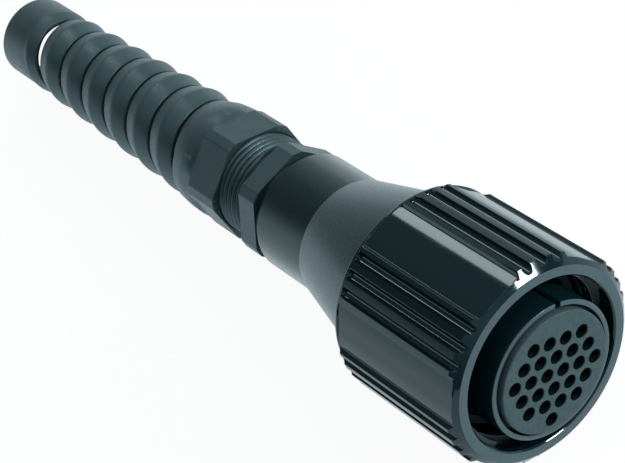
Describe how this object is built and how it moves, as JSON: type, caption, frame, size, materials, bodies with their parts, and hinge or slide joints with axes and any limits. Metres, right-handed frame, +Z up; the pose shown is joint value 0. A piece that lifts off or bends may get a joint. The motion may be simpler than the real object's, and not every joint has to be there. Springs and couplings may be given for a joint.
{
  "type": "circular connector plug",
  "caption": "Black circular bayonet plug with a ribbed coupling ring, socket insert, tapered backshell, cable gland and spiral bend relief.",
  "frame": {"origin": "centre of the plug barrel's front rim, on the connector's axis", "axes": "+X along the axis out of the mating face, +Z up as the plug lies on a flat panel of its ring"},
  "size_m": [0.1877, 0.0448, 0.0436],
  "materials": {
    "ring_alloy": "black finished, semi-gloss",
    "shell_alloy": "black finished, satin",
    "backshell_alloy": "black finished, satin flare and glossy tube",
    "insert_plastic": "moulded, matte dark grey",
    "contact_brass": "gold plated",
    "spring_steel": "plain stainless",
    "seal_rubber": "moulded, matte",
    "gland_nylon": "moulded, fine matte"
  },
  "bodies": {
    "plug": {"plug_shell": "shell_alloy", "contact_insert": "insert_plastic", "wire_grommet": "seal_rubber", "socket_contacts": "contact_brass", "grommet_follower": "insert_plastic", "insert_clamp_ring": "shell_alloy", "shell_gasket": "seal_rubber", "thrust_washers": "spring_steel", "wave_spring": "spring_steel", "snap_ring": "spring_steel", "backshell": "backshell_alloy", "backshell_seal": "seal_rubber", "gland_gasket": "seal_rubber", "gland_body": "gland_nylon", "clamp_seal": "seal_rubber"},
    "coupling_ring": {"coupling_ring": "ring_alloy"},
    "claw_cage": {"claw_cage": "gland_nylon"},
    "spiral_nut": {"spiral_nut": "gland_nylon"}
  },
  "joints": [
    {"name": "ring_turn", "type": "hinge", "parent": "plug", "child": "coupling_ring", "pos_m": [-0.02, 0, 0], "axis": [1, 0, 0], "continuous": true},
    {"name": "nut_feed", "type": "slide", "parent": "plug", "child": "claw_cage", "axis": [1, 0, 0], "range_m": [-0.00301, 0.00151]},
    {"name": "nut_turn", "type": "hinge", "parent": "claw_cage", "child": "spiral_nut", "pos_m": [-0.1, 0, 0], "axis": [1, 0, 0], "range_deg": [-720, 360]}
  ],
  "couplings": [
    {"joint": "nut_feed", "follows": "nut_turn", "m_per_rad": 0.00023873}
  ]
}
